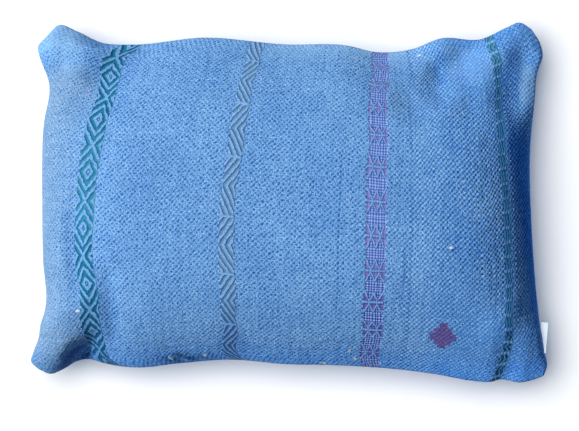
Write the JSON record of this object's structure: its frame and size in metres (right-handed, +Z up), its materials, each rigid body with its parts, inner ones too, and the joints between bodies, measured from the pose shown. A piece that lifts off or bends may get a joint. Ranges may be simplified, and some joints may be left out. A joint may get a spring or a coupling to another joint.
{
  "type": "handwoven oblong cushion",
  "caption": "Plump oblong cushion in coarse blue handwoven cloth with brocaded bands, drawn-in sides, soft ears and a bare side label.",
  "frame": {"origin": "on the surface the cushion lies on, below the middle of its overall box", "axes": "+X along the length, to the side with the label; +Y across the face, towards the upper edge; +Z up out of the face"},
  "size_m": [0.5743, 0.3998, 0.1253],
  "materials": {
    "handwoven_cloth": "coarse matt weave",
    "label_ribbon": "smooth woven ribbon"
  },
  "bodies": {
    "root": {"cushion": "handwoven_cloth", "label": "label_ribbon"}
  },
  "joints": []
}
